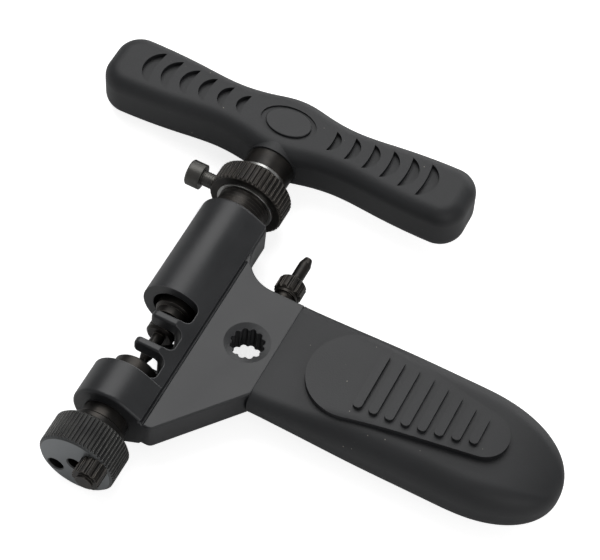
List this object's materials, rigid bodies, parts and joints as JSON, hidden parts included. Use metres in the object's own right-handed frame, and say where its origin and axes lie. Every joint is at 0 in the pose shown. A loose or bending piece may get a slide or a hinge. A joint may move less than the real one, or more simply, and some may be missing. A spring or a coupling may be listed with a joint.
{
  "type": "chain tool",
  "caption": "Flat-bodied workshop chain tool with a rubber grip, chain fingers between a T-handle drive screw and a hollow anvil screw, and a lockable stop collar.",
  "frame": {"origin": "on the drive screw's axis, midway between the two chain fingers", "axes": "+X towards the handle, +Y along the drive screw to the T-handle, +Z out of the flat face of the web"},
  "size_m": [0.1595, 0.1287, 0.021],
  "materials": {
    "frame_coat": "satin black coating on cast steel",
    "grip_rubber": "matte with a fine grain",
    "pad_rubber": "matte, slightly smoother than the grip",
    "cap_plastic": "satin moulded",
    "black_steel": "black oxide, turned",
    "collar_steel": "black oxide with worn bright ridges",
    "screw_steel": "grey black oxide",
    "pin_steel": "hardened, black oxide, glossy",
    "knob_steel": "black oxide sides with a turned grey end face",
    "bright_steel": "plain turned",
    "nylon": "moulded"
  },
  "bodies": {
    "frame_body": {"frame": "frame_coat", "handle_core": "nylon", "tang_dowels": "bright_steel", "handle_grip": "grip_rubber", "thumb_pad": "pad_rubber", "guide_bush": "black_steel", "spare_pin": "pin_steel"},
    "thrust_washer_body": {"thrust_washer": "bright_steel"},
    "drive_screw": {"spindle": "black_steel", "push_pin": "pin_steel", "t_bar_hub": "black_steel", "t_bar_pin": "bright_steel", "t_bar_rod": "bright_steel", "t_bar_grip": "grip_rubber", "t_bar_cap_front": "cap_plastic", "t_bar_cap_rear": "cap_plastic"},
    "collar_washer_body": {"collar_washer": "bright_steel"},
    "collar_body": {"stop_collar": "collar_steel"},
    "lock_pad_body": {"lock_pad": "nylon"},
    "lock_screw_body": {"lock_screw": "screw_steel"},
    "anvil_ring_body": {"anvil_ring": "black_steel"},
    "anvil_body": {"anvil": "black_steel", "anvil_knob": "knob_steel", "knob_pin": "bright_steel", "tip_insert": "pin_steel"}
  },
  "joints": [
    {"name": "drive_advance", "type": "slide", "parent": "frame_body", "child": "thrust_washer_body", "axis": [0, 1, 0], "range_m": [-0.00241, 0.01401]},
    {"name": "drive_turn", "type": "hinge", "parent": "thrust_washer_body", "child": "drive_screw", "pos_m": [0, 0.0742, 0], "axis": [0, 1, 0], "range_deg": [-576, 3360]},
    {"name": "collar_advance", "type": "slide", "parent": "frame_body", "child": "collar_washer_body", "axis": [0, 1, 0], "range_m": [-0.00451, 0]},
    {"name": "collar_turn", "type": "hinge", "parent": "collar_washer_body", "child": "collar_body", "pos_m": [0, 0.0528, 0], "axis": [0, 1, 0], "range_deg": [-1620, 0]},
    {"name": "lock_advance", "type": "slide", "parent": "collar_body", "child": "lock_pad_body", "axis": [1, 0, 0], "range_m": [-0.0014, 0]},
    {"name": "lock_turn", "type": "hinge", "parent": "lock_pad_body", "child": "lock_screw_body", "pos_m": [-0.0136, 0.05205, 0], "axis": [1, 0, 0], "range_deg": [-721, 0]},
    {"name": "anvil_advance", "type": "slide", "parent": "frame_body", "child": "anvil_ring_body", "axis": [0, 1, 0], "range_m": [-0.005, 0.0012]},
    {"name": "anvil_turn", "type": "hinge", "parent": "anvil_ring_body", "child": "anvil_body", "pos_m": [0, -0.0342, 0], "axis": [0, 1, 0], "range_deg": [-1801, 433]}
  ],
  "couplings": [
    {"joint": "drive_advance", "follows": "drive_turn", "m_per_rad": 0.00023873},
    {"joint": "collar_advance", "follows": "collar_turn", "m_per_rad": 0.00015915},
    {"joint": "lock_turn", "follows": "lock_advance", "rad_per_m": 8976},
    {"joint": "anvil_turn", "follows": "anvil_advance", "rad_per_m": 6283.2}
  ]
}
